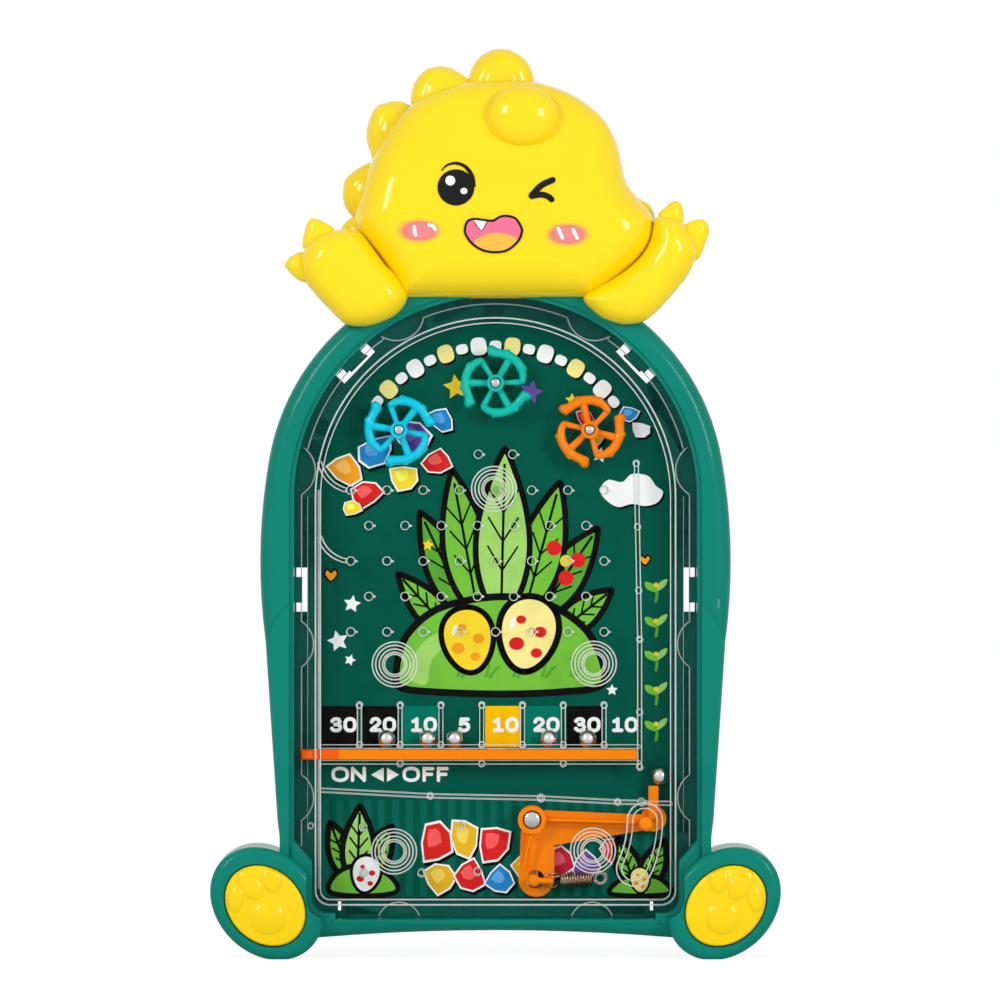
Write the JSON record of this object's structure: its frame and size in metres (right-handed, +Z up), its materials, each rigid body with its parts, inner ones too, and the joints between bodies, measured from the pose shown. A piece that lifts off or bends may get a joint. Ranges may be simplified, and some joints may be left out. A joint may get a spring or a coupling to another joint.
{
  "type": "pinball toy",
  "caption": "Hand-held pinball toy standing on round paw feet, with an arched tray, a clear cover over pins, score bins and spinner wheels, a lever launcher and a puffy animal head on top.",
  "frame": {"origin": "on the ground under the middle of the toy's width and depth", "axes": "+X to the player's right, +Y away from the player to the toy's back, +Z up; the toy stands upright on its feet"},
  "size_m": [0.1849, 0.036, 0.296],
  "materials": {
    "green": "gloss",
    "print": "printed card, satin",
    "clear": "clear, polished",
    "yellow": "gloss",
    "pad_yellow": "gloss",
    "orange": "gloss",
    "blue": "gloss",
    "teal": "gloss",
    "wheel_orange": "gloss",
    "steel": "plain",
    "spring_steel": "bright",
    "ball_steel": "polished"
  },
  "bodies": {
    "housing": {"tray": "green", "playfield_card": "print", "clear_cover": "clear", "cover_pins": "clear", "head_front_shell": "yellow", "head_rear_shell": "yellow", "left_arm": "yellow", "right_arm": "yellow", "left_paw_pad": "pad_yellow", "right_paw_pad": "pad_yellow", "head_screws": "steel", "arm_screws": "steel", "shell_screws": "steel", "return_spring": "spring_steel"},
    "gate": {"gate_bar": "orange"},
    "launcher": {"launcher_lever": "orange"},
    "spinner_left": {"wheel_left": "blue"},
    "spinner_top": {"wheel_top": "teal"},
    "spinner_right": {"wheel_right": "wheel_orange"},
    "steel_ball_1": {"ball_1": "ball_steel"},
    "steel_ball_2": {"ball_2": "ball_steel"},
    "steel_ball_3": {"ball_3": "ball_steel"},
    "steel_ball_4": {"ball_4": "ball_steel"},
    "steel_ball_5": {"ball_5": "ball_steel"},
    "steel_ball_6": {"ball_6": "ball_steel"}
  },
  "joints": [
    {"name": "gate_slide", "type": "slide", "parent": "housing", "child": "gate", "axis": [-1, 0, 0], "range_m": [0, 0.005]},
    {"name": "launcher_pivot", "type": "hinge", "parent": "housing", "child": "launcher", "pos_m": [0.0119, 0.01, 0.0445], "axis": [0, 1, 0], "range_deg": [0, 24], "stiffness_Nm_per_rad": 0.038, "springref_deg": -17.19, "deforming": ["return_spring"]},
    {"name": "spinner_left_turn", "type": "hinge", "parent": "housing", "child": "spinner_left", "pos_m": [-0.0315, 0.0077, 0.1715], "axis": [0, 1, 0], "continuous": true},
    {"name": "spinner_top_turn", "type": "hinge", "parent": "housing", "child": "spinner_top", "pos_m": [0, 0.0077, 0.1868], "axis": [0, 1, 0], "continuous": true},
    {"name": "spinner_right_turn", "type": "hinge", "parent": "housing", "child": "spinner_right", "pos_m": [0.0307, 0.0077, 0.1715], "axis": [0, 1, 0], "continuous": true},
    {"name": "ball_1_rise", "type": "slide", "parent": "housing", "child": "steel_ball_1", "axis": [0, 0, 1], "range_m": [0, 0.028]},
    {"name": "ball_2_rise", "type": "slide", "parent": "housing", "child": "steel_ball_2", "axis": [0, 0, 1], "range_m": [0, 0.028]},
    {"name": "ball_3_rise", "type": "slide", "parent": "housing", "child": "steel_ball_3", "axis": [0, 0, 1], "range_m": [0, 0.028]},
    {"name": "ball_4_rise", "type": "slide", "parent": "housing", "child": "steel_ball_4", "axis": [0, 0, 1], "range_m": [0, 0.04]},
    {"name": "ball_5_rise", "type": "slide", "parent": "housing", "child": "steel_ball_5", "axis": [0, 0, 1], "range_m": [0, 0.04]},
    {"name": "ball_6_rise", "type": "slide", "parent": "housing", "child": "steel_ball_6", "axis": [0, 0, 1], "range_m": [0, 0.09]}
  ]
}
